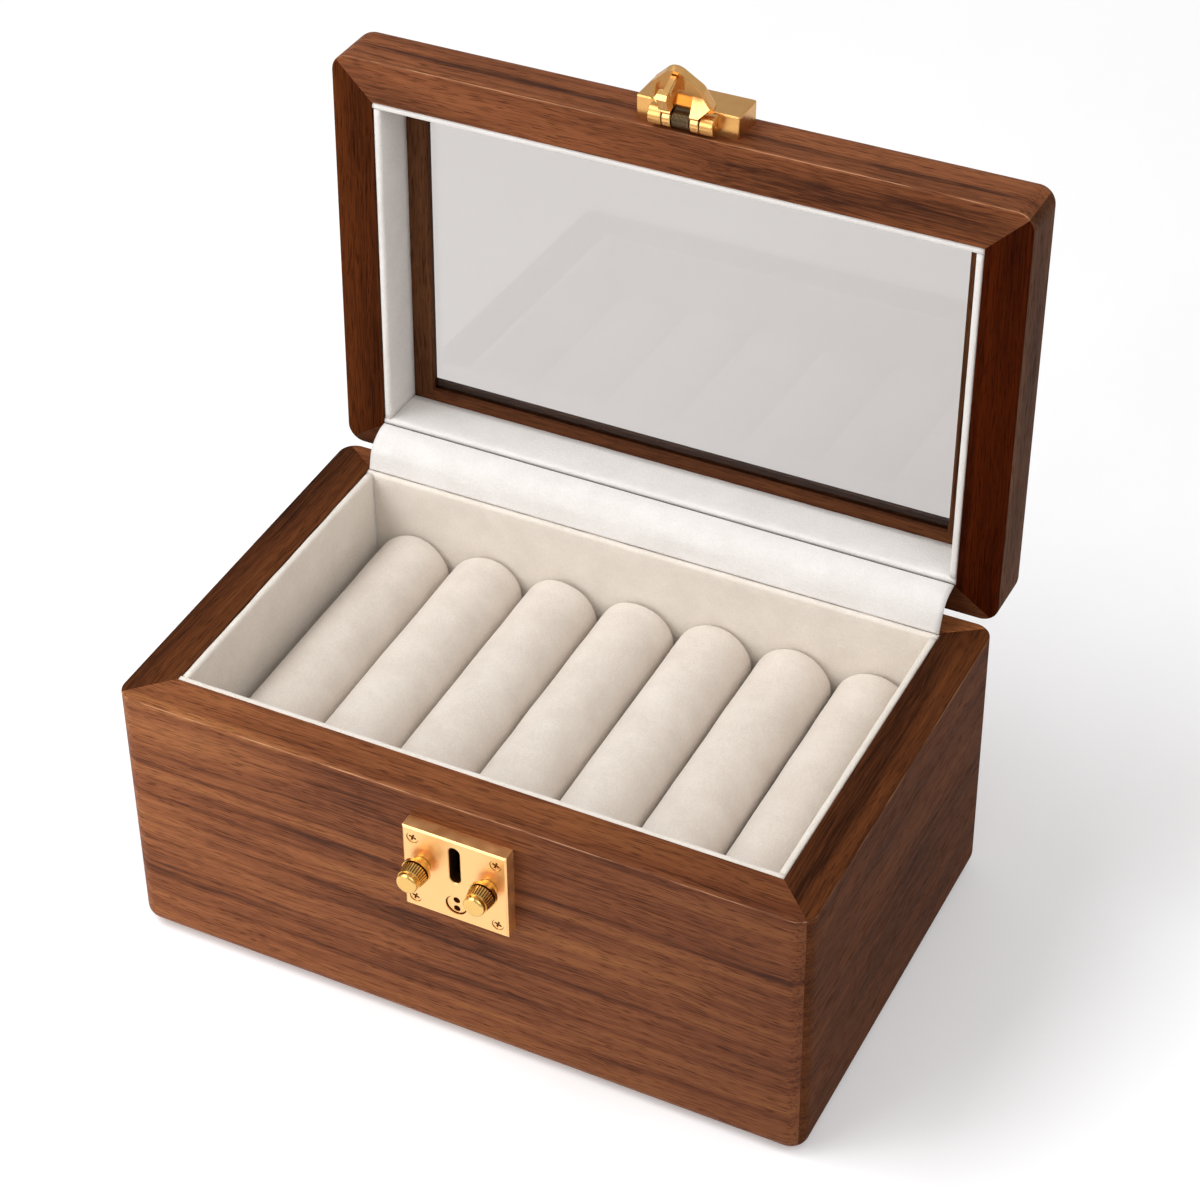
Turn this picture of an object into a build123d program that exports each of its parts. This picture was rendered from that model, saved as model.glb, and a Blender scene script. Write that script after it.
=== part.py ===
from build123d import *
import math
import os

# Walnut bangle box: a mitred case with a glazed lid on two stop hinges, a velvet lining,
# seven velvet rolls, and a brass lock with two knobs whose hook comes down from the lid.
# Millimetres. X runs right along the front, Y runs back and Z runs up.
# The origin is the middle of the underside. The lid stands open on its stop.

# Case
box_width = 310.0
box_depth = 195.0
base_height = 130.0
lid_height = 30.0
wall = 19.0
back_wall = 13.0
rim_gap = 0.4
corner_radius = 8.0
foot_radius = 7.0
crown_radius = 7.0
rim_arris = 1.2
lid_open_angle = 92.0

# Underside
felt_thickness = 1.5
felt_margin = 1.0
bottom_thickness = 6.0
bottom_rebate = 4.0

# Lining
liner_thickness = 3.6
liner_drop = 0.3
liner_round = 1.4
floor_thickness = 5.0
batten_size = 12.0

# Rolls
roll_pitch = 37.05
roll_radius = 18.2
roll_crown = 0.5
roll_end_round = 3.5
roll_clearance = 0.3
roll_top_drop = 25.7

# Lid glazing
lip_depth = 22.6
lip_reach = 13.0
lip_round = 1.1
glass_thickness = 3.0
glass_rebate = 7.0
glass_clearance = 0.5
bead_width = 6.0
bead_height = 2.0

# Hinges
hinge_inset = 60.0
hinge_back_offset = 0.85
hinge_length = 50.0
hinge_leaf_width = 10.0
hinge_leaf_thickness = 1.6
hinge_barrel_radius = 2.5
hinge_pin_radius = 1.1
hinge_knuckles = 5
hinge_knuckle_gap = 0.2
hinge_groove_clearance = 0.4
running_clearance = 0.06
hinge_screw_pitch = 17.0
hinge_screw_setback = 6.4
hinge_screw_length = 8.0
hinge_screw_head_radius = 2.2
hinge_screw_radius = 1.1

# Hinge cover cloth
cover_thickness = 1.2
cover_side_gap = 0.6
cover_edge_gap = 0.3
cover_rise = 7.3
cover_lean = 2.2
cover_bow = 3.0

# Lock plate
lock_x = 6.5
plate_width = 46.5
plate_height = 42.5
plate_thickness = 6.5
plate_top_drop = 12.3
plate_bevel = 0.7
slot_width = 5.0
slot_length = 18.5
slot_top_drop = 16.0
slot_bevel = 0.4
plate_screw_x = 18.6
plate_screw_z = 15.95
plate_screw_head_radius = 2.4
plate_screw_head_gap = 0.25
plate_screw_sink = 0.4
plate_screw_radius = 1.3
plate_screw_length = 17.0
cross_length = 3.3
cross_width = 0.9
cross_depth = 0.8

# Lock case behind the plate
case_depth = 8.9
case_wall = 1.2
case_half_width = 19.6
case_wide_top_drop = 21.6
case_wide_bottom_drop = 46.0
case_narrow_half_width = 13.6
case_top_drop = 13.2
case_bottom_drop = 53.4

# Lock plug
plug_drop = 46.6
plug_radius = 4.75
plug_recess = 0.7
plug_rim = 0.5
plug_hole_radius = 1.5
plug_hole_offset = 2.2
plug_hole_depth = 1.8
plug_length = 11.6
tail_reach = 6.8
tail_hub_radius = 3.75
tail_width = 3.4
tail_thickness = 1.4

# Knobs
knob_spacing = 15.0
knob_drop = 30.4
knob_stem_radius = 4.1
knob_stem_length = 3.4
knob_stand_off = 0.2
knob_collar_radius = 6.1
knob_collar_length = 1.6
knob_groove_radius = 5.0
knob_groove_length = 0.7
knob_grip_radius = 5.7
knob_tip_radius = 5.0
knob_grip_length = 4.8
knob_cap_length = 2.6
knob_cap_radius = 4.7
knob_cap_round = 1.3
knob_flutes = 30
knob_flute_radius = 0.4
knob_flute_overrun = 1.8
spindle_radius = 2.0
cam_reach = 13.5
cam_hub_radius = 3.0
cam_tip_radius = 1.3
cam_thickness = 1.4
cam_gap = 0.3
cam_lock_angle = 23.6
cam_turn = 90.0

# Hasp block and hinge
block_width = 45.5
block_height = 10.0
block_lower_depth = 5.7
block_upper_depth = 22.7
block_round = 0.9
hasp_axis_height = 5.8
hasp_axis_depth = 2.4
hasp_barrel_radius = 4.5
hasp_pin_radius = 1.5
hasp_pin_recess = 0.8
knuckle_outer_x = 14.3
knuckle_inner_x = 8.4
knuckle_chamfer = 0.35
ring_outer_x = 8.0
ring_inner_x = 4.3
spring_half_length = 4.0
spring_radius = 4.0
spring_clearance = 0.25
hasp_relief = 0.35
hasp_rest_angle = 65.0
block_screw_x = 15.0
block_screw_depth = 14.0
block_screw_radius = 1.5
block_screw_head_radius = 3.2
block_screw_head_height = 2.2
block_screw_bite = 7.0

# Hasp leaf and hook
leaf_near = 5.5
leaf_tip = 28.6
leaf_tip_radius = 5.0
leaf_corner_radius = 2.5
leaf_half_width = 13.8
leaf_waist_half_width = 11.4
leaf_waist = 16.5
leaf_stand_off = 0.5
leaf_thickness = 4.2
leaf_shell = 1.7
leaf_round = 1.6
strap_half_thickness = 2.4
strap_flare_start = 5.0
strap_foot = 3.0
strap_run = 6.5
strap_flare_x = 12.4
gusset_near = 12.0
hook_near = 19.6
hook_far = 26.2
hook_thickness = 2.4
hook_rod_radius = 1.7
hook_ring_radius = 2.2
hook_ring_length = 1.0
foot_near = 18.6
foot_far = 28.2
foot_width = 4.4
foot_gap = 2.4
foot_height = 4.0
foot_slant = 1.6

# Derived places
half_width = box_width / 2
half_depth = box_depth / 2
hinge_x = half_width - hinge_inset
inner_half_width = half_width - wall
inner_front_y = wall - half_depth
inner_back_y = half_depth - back_wall
lid_rim_z = base_height + rim_gap
lid_top_z = lid_rim_z + lid_height
hinge_y = half_depth + hinge_back_offset
hinge_z = base_height + rim_gap / 2
hinge_axis = Axis((0, hinge_y, hinge_z), (1, 0, 0))
roll_count = int((2 * inner_half_width - 2 * liner_thickness) // roll_pitch)
roll_z = base_height - roll_top_drop - roll_radius
floor_top_z = roll_z - roll_radius - roll_clearance
plate_front_y = -half_depth - plate_thickness
plate_centre_z = base_height - plate_top_drop - plate_height / 2
plug_z = base_height - plug_drop
knob_z = base_height - knob_drop
hasp_y = -half_depth - hasp_axis_height
hasp_z = lid_rim_z + hasp_axis_depth
hasp_axis = Axis((0, hasp_y, hasp_z), (1, 0, 0))
bead_bottom_z = lid_top_z - bead_height
glass_bottom_z = bead_bottom_z - glass_thickness


def slab(x0, x1, y0, y1, z0, z1):
    """Block between two opposite corners."""
    size = Box(x1 - x0, y1 - y0, z1 - z0)
    return Pos((x0 + x1) / 2, (y0 + y1) / 2, (z0 + z1) / 2) * size


def rod_x(radius, x0, x1, y, z):
    """Cylinder along X."""
    return Pos((x0 + x1) / 2, y, z) * Rot(0, 90, 0) * Cylinder(radius, x1 - x0)


def rod_y(radius, y0, y1, x, z):
    """Cylinder along Y."""
    return Pos(x, (y0 + y1) / 2, z) * Rot(90, 0, 0) * Cylinder(radius, y1 - y0)


def opened(shape):
    """A piece of the closed lid, swung to the open stop."""
    return shape.rotate(hinge_axis, -lid_open_angle)


def rounded_case(z0, z1):
    """Solid block with the outline of the box."""
    outline = RectangleRounded(box_width, box_depth, corner_radius)
    return Pos(0, 0, z0) * extrude(outline, z1 - z0)


def mitre_wedge(side, outer, inner, z0, z1):
    """Prism over one side of a frame, cut at the mitres; outer and inner are x0, x1, y0, y1."""
    ox0, ox1, oy0, oy1 = outer
    ix0, ix1, iy0, iy1 = inner
    corners = {
        "front": [(ox0, oy0), (ox1, oy0), (ix1, iy0), (ix0, iy0)],
        "right": [(ox1, oy0), (ox1, oy1), (ix1, iy1), (ix1, iy0)],
        "back": [(ox1, oy1), (ox0, oy1), (ix0, iy1), (ix1, iy1)],
        "left": [(ox0, oy1), (ox0, oy0), (ix0, iy0), (ix0, iy1)],
    }
    outline = make_face(Polyline(*corners[side], close=True))
    return Pos(0, 0, z0) * extrude(outline, z1 - z0)


SIDES = ("front", "right", "back", "left")
OUTER = (-half_width, half_width, -half_depth, half_depth)
INNER = (-inner_half_width, inner_half_width, inner_front_y, inner_back_y)


def reaching_in(reach):
    """Rectangle that lies inside the walls by the given reach, as x0, x1, y0, y1."""
    x0, x1, y0, y1 = INNER
    return (x0 + reach, x1 - reach, y0 + reach, y1 - reach)


# Hinges
def knuckle_spans(parity):
    """X spans of every other knuckle, from the left end of a leaf centred on zero."""
    pitch = hinge_length / hinge_knuckles
    spans = []
    for index in range(hinge_knuckles):
        if index % 2 == parity:
            start = -hinge_length / 2 + index * pitch
            spans.append((start + hinge_knuckle_gap / 2, start + pitch - hinge_knuckle_gap / 2))
    return spans


def hinge_screw(x, z, up):
    """Countersunk screw whose head is flush at z, with its point up or down."""
    y = half_depth - hinge_screw_setback
    taper = hinge_screw_head_radius - hinge_screw_radius
    head = Pos(x, y, z - taper / 2) * Cone(hinge_screw_radius, hinge_screw_head_radius, taper)
    shank_length = hinge_screw_length - taper
    shank = Pos(x, y, z - taper - shank_length / 2) * Cylinder(hinge_screw_radius, shank_length)
    screw = head + shank
    if up:
        screw = screw.mirror(Plane(origin=(0, 0, z), z_dir=(0, 0, 1)))
    return screw


def screw_places():
    """X places of the hinge screws, three in each leaf."""
    return [side * hinge_x + step * hinge_screw_pitch for side in (-1, 1) for step in (-1, 0, 1)]


def base_leaf(x, parity, bore):
    """Lower hinge leaf, let into the back rim, with its share of the knuckles."""
    half = hinge_length / 2
    leaf = slab(-half, half, half_depth - hinge_leaf_width, hinge_y,
                base_height - hinge_leaf_thickness, base_height)
    for x0, x1 in knuckle_spans(1 - parity):
        clear = hinge_barrel_radius + hinge_groove_clearance
        leaf -= rod_x(clear, x0 - hinge_knuckle_gap, x1 + hinge_knuckle_gap, hinge_y, hinge_z)
    for x0, x1 in knuckle_spans(parity):
        leaf += rod_x(hinge_barrel_radius, x0, x1, hinge_y, hinge_z)
    leaf -= rod_x(bore, -half, half, hinge_y, hinge_z)
    leaf = Pos(x, 0, 0) * leaf
    for place in screw_places():
        leaf -= hinge_screw(place, base_height, False)
    return leaf


def lid_leaf(x):
    """Upper hinge leaf, the lower one mirrored in the plane of the pin, with the other knuckles."""
    leaf = base_leaf(x, 1, hinge_pin_radius + running_clearance)
    return leaf.mirror(Plane(origin=(0, 0, hinge_z), z_dir=(0, 0, 1)))


def hinge_pin(x):
    half = hinge_length / 2
    return rod_x(hinge_pin_radius, x - half, x + half, hinge_y, hinge_z)


def hinge_recesses(lower):
    """Mortises, barrel grooves and screw holes for both hinges in one rim."""
    half = hinge_length / 2
    if lower:
        z0, z1 = base_height - hinge_leaf_thickness, base_height
    else:
        z0, z1 = lid_rim_z, lid_rim_z + hinge_leaf_thickness
    cut = None
    for side in (-1, 1):
        x = side * hinge_x
        mortise = slab(x - half, x + half, half_depth - hinge_leaf_width, half_depth + 1, z0, z1)
        clear = hinge_barrel_radius + hinge_groove_clearance
        groove = rod_x(clear, x - half - clear / 2, x + half + clear / 2, hinge_y, hinge_z)
        cut = mortise + groove if cut is None else cut + mortise + groove
    for place in screw_places():
        cut += hinge_screw(place, z0 + hinge_leaf_thickness if lower else z0, not lower)
    return cut


# Base case
def base_ring():
    """The four walls in one, with the rounded foot, the rim arris and the bottom rebate."""
    ring = rounded_case(felt_thickness, base_height)
    ring = fillet(ring.faces().sort_by(Axis.Z)[0].edges(), foot_radius)
    ring = fillet(ring.faces().sort_by(Axis.Z)[-1].edges(), rim_arris)
    ring -= slab(*INNER, 0, base_height)
    ring -= slab(*reaching_in(-bottom_rebate), 0, felt_thickness + bottom_thickness)
    return ring


def base_panels():
    ring = base_ring()
    panels = {}
    for side in SIDES:
        panels[side] = ring & mitre_wedge(side, OUTER, INNER, 0, base_height)
    panels["front"] -= lock_case_block(0)
    for x, z in plate_screw_places():
        panels["front"] -= screw_hole(x, z)
    panels["back"] -= hinge_recesses(True)
    return panels


def bottom_panel():
    x0, x1, y0, y1 = reaching_in(-bottom_rebate)
    return slab(x0, x1, y0, y1, felt_thickness, felt_thickness + bottom_thickness)


def felt_pad():
    margin = 2 * (foot_radius + felt_margin)
    outline = RectangleRounded(box_width - margin, box_depth - margin, corner_radius)
    return extrude(outline, felt_thickness)


def batten(front):
    """Strip glued along a wall to carry the floor board."""
    y0 = inner_front_y if front else inner_back_y - batten_size
    z1 = floor_top_z - floor_thickness
    return slab(-inner_half_width, inner_half_width, y0, y0 + batten_size, z1 - batten_size, z1)


def floor_board():
    return slab(*INNER, floor_top_z - floor_thickness, floor_top_z)


def liner(side, z0, z1, rounded_high):
    """Velvet-covered board against one wall, with one long edge softly rounded."""
    x0, x1, y0, y1 = INNER
    t = liner_thickness
    spans = {
        "front": (x0, x1, y0, y0 + t),
        "back": (x0, x1, y1 - t, y1),
        "left": (x0, x0 + t, y0 + t, y1 - t),
        "right": (x1 - t, x1, y0 + t, y1 - t),
    }
    board = slab(*spans[side], z0, z1)
    long_axis = Axis.X if side in ("front", "back") else Axis.Y
    edges = board.edges().filter_by(long_axis).sort_by(Axis.Z)
    return fillet(edges[-2:] if rounded_high else edges[:2], liner_round)


def roll(index):
    """Padded roll lying front to back, slightly fuller at its middle."""
    front_y = inner_front_y + liner_thickness + roll_clearance
    back_y = inner_back_y - liner_thickness - roll_clearance
    half = (back_y - front_y) / 2
    shoulder = roll_radius - roll_crown
    r = roll_end_round
    bend = r * (1 - math.sqrt(0.5))
    near_end = [(0, -half), (shoulder - r, -half), (shoulder - bend, bend - half)]
    side_line = [(shoulder, r - half), (roll_radius, 0), (shoulder, half - r)]
    far_end = [(shoulder - bend, half - bend), (shoulder - r, half), (0, half)]
    profile = make_face(Polyline(*near_end, *side_line, *far_end, close=True))
    x = (index - (roll_count - 1) / 2) * roll_pitch
    return Pos(x, (front_y + back_y) / 2, roll_z) * revolve(profile, Axis.Y)


# Lid
def lid_ring():
    """The four rails in one, with the glass lip, its rebate and the rounded crown."""
    ring = rounded_case(lid_rim_z, lid_top_z)
    ring = fillet(ring.faces().sort_by(Axis.Z)[-1].edges(), crown_radius)
    ring = fillet(ring.faces().sort_by(Axis.Z)[0].edges(), rim_arris)
    lip = slab(*INNER, lid_rim_z, lid_rim_z + lip_depth)
    ring -= lip
    opening = reaching_in(lip_reach)
    ring -= slab(*opening, lid_rim_z, lid_top_z)
    lip_z = lid_rim_z + lip_depth
    near = [e for e in ring.edges() if abs(e.center().Z - lip_z) < rim_gap / 2]
    inner_edges = [e for e in near if is_on_rectangle(e.center(), opening)]
    ring = fillet(inner_edges, lip_round)
    ring -= slab(*reaching_in(lip_reach - glass_rebate), glass_bottom_z, lid_top_z)
    return ring


def is_on_rectangle(point, rectangle):
    x0, x1, y0, y1 = rectangle
    near = 0.01
    on_x = min(abs(point.X - x0), abs(point.X - x1)) < near
    on_y = min(abs(point.Y - y0), abs(point.Y - y1)) < near
    return on_x or on_y


def lid_rails():
    ring = lid_ring()
    rails = {}
    for side in SIDES:
        rails[side] = ring & mitre_wedge(side, OUTER, INNER, lid_rim_z, lid_rim_z + lip_depth)
        rails[side] += ring & lip_wedge(side)
    for x in block_screw_places():
        rails["front"] -= block_screw(x)
    rails["back"] -= hinge_recesses(False)
    return rails


def lip_wedge(side):
    """Part of one rail above the lining, whose mitre runs on to the glass opening."""
    return mitre_wedge(side, OUTER, mitre_run_on(lip_reach), lid_rim_z + lip_depth, lid_top_z)


def mitre_run_on(reach):
    """Rectangle whose corners lie on the lines of the mitres, as far in as the given side reach."""
    x0, x1, y0, y1 = INNER
    back_step = reach * back_wall / wall
    return (x0 + reach, x1 - reach, y0 + reach, y1 - back_step)


def glass_pane():
    x0, x1, y0, y1 = reaching_in(lip_reach - glass_rebate + glass_clearance)
    return slab(x0, x1, y0, y1, glass_bottom_z, bead_bottom_z)


def glazing_beads():
    """Four mitred strips that hold the glass down in its rebate."""
    outer = reaching_in(lip_reach - glass_rebate)
    inner = reaching_in(lip_reach - glass_rebate + bead_width)
    frame = slab(*outer, bead_bottom_z, lid_top_z) - slab(*inner, bead_bottom_z, lid_top_z)
    strips = []
    for side in SIDES:
        strips.append(frame & mitre_wedge(side, outer, inner, bead_bottom_z, lid_top_z))
    return strips


def hinge_cover():
    """Cloth over the hinges, from the back liner of the base up to the back liner of the lid."""
    low_y = inner_back_y - cover_thickness / 2 - cover_edge_gap
    low_z = base_height - liner_drop + cover_edge_gap
    swing = math.radians(lid_open_angle)
    back = low_y - hinge_y
    rise = lid_rim_z - hinge_z
    high_y = hinge_y + back * math.cos(swing) + rise * math.sin(swing) - cover_thickness / 2
    high_z = hinge_z - back * math.sin(swing) + rise * math.cos(swing)
    knee = (low_y + cover_lean, low_z + cover_rise)
    middle_y = (knee[0] + high_y) / 2 - cover_bow / 2
    middle_z = (knee[1] + high_z) / 2 + cover_bow / 2
    path = [Line((low_y, low_z), knee), ThreePointArc(knee, (middle_y, middle_z), (high_y, high_z))]
    section = trace(path, cover_thickness)
    half = inner_half_width - cover_side_gap
    face = Plane(origin=(-half, 0, 0), x_dir=(0, 1, 0), z_dir=(1, 0, 0)) * section
    return extrude(face, 2 * half, dir=(1, 0, 0))


# Lock plate and case
def plate_screw_places():
    return [(lock_x + i * plate_screw_x, plate_centre_z + j * plate_screw_z)
            for i in (-1, 1) for j in (-1, 1)]


def countersunk(x, z, head_radius):
    """Cone of a screw head set a little into the plate, and its shank."""
    taper = head_radius - plate_screw_radius
    y0 = plate_front_y + plate_screw_sink
    head = Cone(plate_screw_radius, head_radius, taper)
    head = Pos(x, y0 + taper / 2, z) * Rot(90, 0, 0) * head
    return head + rod_y(plate_screw_radius, y0 + taper, plate_front_y + plate_screw_length, x, z)


def plate_screw(x, z):
    """Countersunk wood screw with a cross slot, turned so that the slots stand aslant."""
    screw = countersunk(x, z, plate_screw_head_radius)
    bar = Box(cross_length, 2 * cross_depth, cross_width)
    for turn in (20, 110):
        screw -= Pos(x, plate_front_y + plate_screw_sink, z) * Rot(0, turn, 0) * bar
    return screw


def screw_hole(x, z):
    """Room for a plate screw, with a thin ring of shadow round its head."""
    radius = plate_screw_head_radius + plate_screw_head_gap
    mouth = rod_y(radius, plate_front_y, plate_front_y + plate_screw_sink, x, z)
    return mouth + countersunk(x, z, radius)


def lock_plate():
    x0 = lock_x - plate_width / 2
    z0 = plate_centre_z - plate_height / 2
    plate = slab(x0, x0 + plate_width, plate_front_y, -half_depth, z0, z0 + plate_height)
    plate = chamfer(plate.faces().sort_by(Axis.Y)[0].edges(), plate_bevel)
    slot = extrude(Rot(0, 0, 90) * SlotOverall(slot_length, slot_width), plate_thickness, both=True)
    slot_z = base_height - slot_top_drop - slot_length / 2
    plate -= Pos(lock_x, plate_front_y, slot_z) * Rot(90, 0, 0) * slot
    rim = [e for e in plate.faces().sort_by(Axis.Y)[0].inner_wires().edges()]
    plate = chamfer(rim, slot_bevel)
    plate -= rod_y(plug_radius + running_clearance, plate_front_y - 1, 0, lock_x, plug_z)
    for side in (-1, 1):
        x = lock_x + side * knob_spacing
        plate -= rod_y(spindle_radius + running_clearance, plate_front_y - 1, 0, x, knob_z)
    for x, z in plate_screw_places():
        plate -= screw_hole(x, z)
    return plate


def lock_case_block(inset):
    """Outline of the lock case, wide at the knobs and narrow between the plate screws."""
    y1 = case_depth - half_depth - inset
    wide_x = case_half_width - inset
    wide = slab(lock_x - wide_x, lock_x + wide_x, -half_depth, y1,
                base_height - case_wide_bottom_drop + inset, base_height - case_wide_top_drop - inset)
    tall_x = case_narrow_half_width - inset
    tall = slab(lock_x - tall_x, lock_x + tall_x, -half_depth, y1,
                base_height - case_bottom_drop + inset, base_height - case_top_drop - inset)
    return wide + tall


def lock_case():
    return lock_case_block(0) - lock_case_block(case_wall)


def lever(x, z, reach, hub, tip, y0, thickness, angle):
    """Flat tapered lever; the angle turns it in the plane of the plate from pointing right."""
    run = math.radians(angle)
    end_x = reach * math.cos(run)
    end_z = reach * math.sin(run)
    round_hub = Circle(hub)
    round_tip = Pos(end_x, end_z) * Circle(tip)
    outline = make_hull(round_hub.edges() + round_tip.edges())
    body = extrude(outline, -thickness)
    return Pos(x, y0, z) * Rot(90, 0, 0) * body


def lock_plug():
    """Turning plug with two blind holes for the key, and a tail for its lever."""
    y0 = plate_front_y + plug_recess
    plug = rod_y(plug_radius, y0, y0 + plug_length, lock_x, plug_z)
    plug = chamfer(plug.faces().sort_by(Axis.Y)[0].edges(), plug_rim)
    for side in (-1, 1):
        z = plug_z + side * plug_hole_offset
        plug -= rod_y(plug_hole_radius, y0 - 1, y0 + plug_hole_depth, lock_x, z)
    return plug


def plug_tail():
    y0 = plate_front_y + plug_recess + plug_length
    return lever(lock_x, plug_z, tail_reach, tail_hub_radius, tail_width / 2, y0, tail_thickness, 90)


def knob(side):
    """Knurled knob turned in one piece with its stem and spindle."""
    start = knob_stand_off
    collar = start + knob_stem_length
    groove = collar + knob_collar_length
    grip = groove + knob_groove_length
    cap = grip + knob_grip_length
    end = cap + knob_cap_length
    side_points = [
        (0, end), (0, start), (knob_stem_radius, start), (knob_stem_radius, collar),
        (knob_collar_radius, collar), (knob_collar_radius, groove),
        (knob_groove_radius, groove), (knob_groove_radius, grip),
        (knob_grip_radius, grip), (knob_tip_radius, cap),
        (knob_cap_radius, cap), (knob_cap_radius, end - knob_cap_round),
    ]
    bend = knob_cap_round * (1 - math.sqrt(0.5))
    rim = ThreePointArc(side_points[-1], (knob_cap_radius - bend, end - bend),
                        (knob_cap_radius - knob_cap_round, end))
    top = Line((knob_cap_radius - knob_cap_round, end), (0, end))
    body = revolve(make_face([Polyline(*side_points), rim, top]), Axis.Y)
    for index in range(knob_flutes):
        turn = 360 * index / knob_flutes
        lean = math.degrees(math.atan2(knob_grip_radius - knob_tip_radius, knob_grip_length))
        flute = Pos(knob_grip_radius + knob_flute_radius / 2, grip, 0) * Rot(0, 0, lean)
        flute = flute * Rot(90, 0, 0) * Cylinder(knob_flute_radius, knob_flute_overrun * knob_grip_length)
        keep = knob_band(grip, cap)
        body -= (Rot(0, turn, 0) * flute) & keep
    x = lock_x + side * knob_spacing
    body = Pos(x, plate_front_y, knob_z) * Rot(180, 0, 0) * body
    spindle_end = -half_depth + cam_gap + cam_thickness
    return body + rod_y(spindle_radius, plate_front_y - start, spindle_end, x, knob_z)


def knob_band(y0, y1):
    """Room round the grip in which the knurling is cut."""
    room = 2 * knob_collar_radius
    return Pos(0, (y0 + y1) / 2, 0) * Box(2 * room, y1 - y0, 2 * room)


def knob_cam(side):
    """Lever on the spindle behind the plate, shown turned clear of the slot."""
    x = lock_x + side * knob_spacing
    angle = 180 - cam_lock_angle + cam_turn if side > 0 else cam_lock_angle - cam_turn
    y0 = -half_depth + cam_gap
    cam = lever(x, knob_z, cam_reach, cam_hub_radius, cam_tip_radius, y0, cam_thickness, angle)
    return cam - rod_y(spindle_radius, y0 - 1, y0 + cam_thickness + 1, x, knob_z)


# Hasp
def block_screw_places():
    return [lock_x - block_screw_x, lock_x + block_screw_x]


def block_screw(x):
    """Screw from inside the lid through the front rail into the block."""
    z = lid_rim_z + block_screw_depth
    head_y = inner_front_y - block_screw_head_height
    head = rod_y(block_screw_head_radius, head_y, inner_front_y, x, z)
    return head + rod_y(block_screw_radius, -half_depth - block_screw_bite, head_y, x, z)


def hasp_knuckle(x0, x1):
    """One barrel of the hasp hinge with its end edges broken."""
    barrel = rod_x(hasp_barrel_radius, x0, x1, hasp_y, hasp_z)
    ends = barrel.faces().sort_by(Axis.X)
    return chamfer(ends[0].edges() + ends[-1].edges(), knuckle_chamfer)


def hasp_block():
    """Block on the front rail of the lid with the two outer knuckles of the hasp hinge."""
    z0 = lid_rim_z + block_lower_depth
    z1 = lid_rim_z + block_upper_depth
    x0 = lock_x - block_width / 2
    body = slab(x0, x0 + block_width, -half_depth - block_height, -half_depth, z0, z1)
    outer = body.edges().filter_by(lambda e: e.center().Y < -half_depth - rim_gap)
    body = fillet(outer, block_round)
    relief = hasp_barrel_radius + hasp_relief
    body -= rod_x(relief, lock_x - knuckle_inner_x, lock_x + knuckle_inner_x, hasp_y, hasp_z)
    for side in (-1, 1):
        x0, x1 = sorted((side * knuckle_inner_x, side * knuckle_outer_x))
        body += hasp_knuckle(lock_x + x0, lock_x + x1)
    body -= rod_x(hasp_pin_radius, lock_x - block_width, lock_x + block_width, hasp_y, hasp_z)
    for x in block_screw_places():
        body -= block_screw(x)
    return body


def hasp_pin():
    half = knuckle_outer_x - hasp_pin_recess
    return rod_x(hasp_pin_radius, lock_x - half, lock_x + half, hasp_y, hasp_z)


def hasp_spring():
    """Spring round the pin that holds the hasp up."""
    x0 = lock_x - spring_half_length
    x1 = lock_x + spring_half_length
    tube = rod_x(spring_radius, x0, x1, hasp_y, hasp_z)
    return tube - rod_x(hasp_pin_radius + spring_clearance, x0 - 1, x1 + 1, hasp_y, hasp_z)


def on_leaf(sketch, low, high):
    """Extrude a sketch drawn in X and distance from the pin, between two heights off the plate.

    The hasp is drawn hanging shut: distance runs down and height runs out to the front.
    """
    plane = Plane(origin=(lock_x, hasp_y - low, hasp_z), x_dir=(1, 0, 0), z_dir=(0, -1, 0))
    return extrude(plane * (Rot(180, 0, 0) * sketch), high - low, dir=(0, -1, 0))


def in_profile(points, half_thickness):
    """Extrude an outline of distance and height points to both sides of the middle of the lock."""
    corners = [(0, hasp_y - height, hasp_z - distance) for distance, height in points]
    face = make_face(Polyline(*corners, close=True))
    body = extrude(face, half_thickness, dir=(1, 0, 0)) + extrude(face, half_thickness, dir=(-1, 0, 0))
    return Pos(lock_x, 0, 0) * body


def leaf_outline(inset):
    """Arched outline of the leaf, in X and distance from the pin."""
    corner_x = leaf_half_width - leaf_corner_radius
    corner_d = leaf_near + leaf_corner_radius
    waist_x = leaf_waist_half_width - leaf_tip_radius
    circles = [Pos(0, leaf_tip - leaf_tip_radius) * Circle(leaf_tip_radius - inset)]
    for side in (-1, 1):
        circles.append(Pos(side * corner_x, corner_d) * Circle(leaf_corner_radius - inset))
        circles.append(Pos(side * waist_x, leaf_waist) * Circle(leaf_tip_radius - inset))
    edges = ShapeList()
    for circle in circles:
        edges += circle.edges()
    return make_hull(edges)


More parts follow.
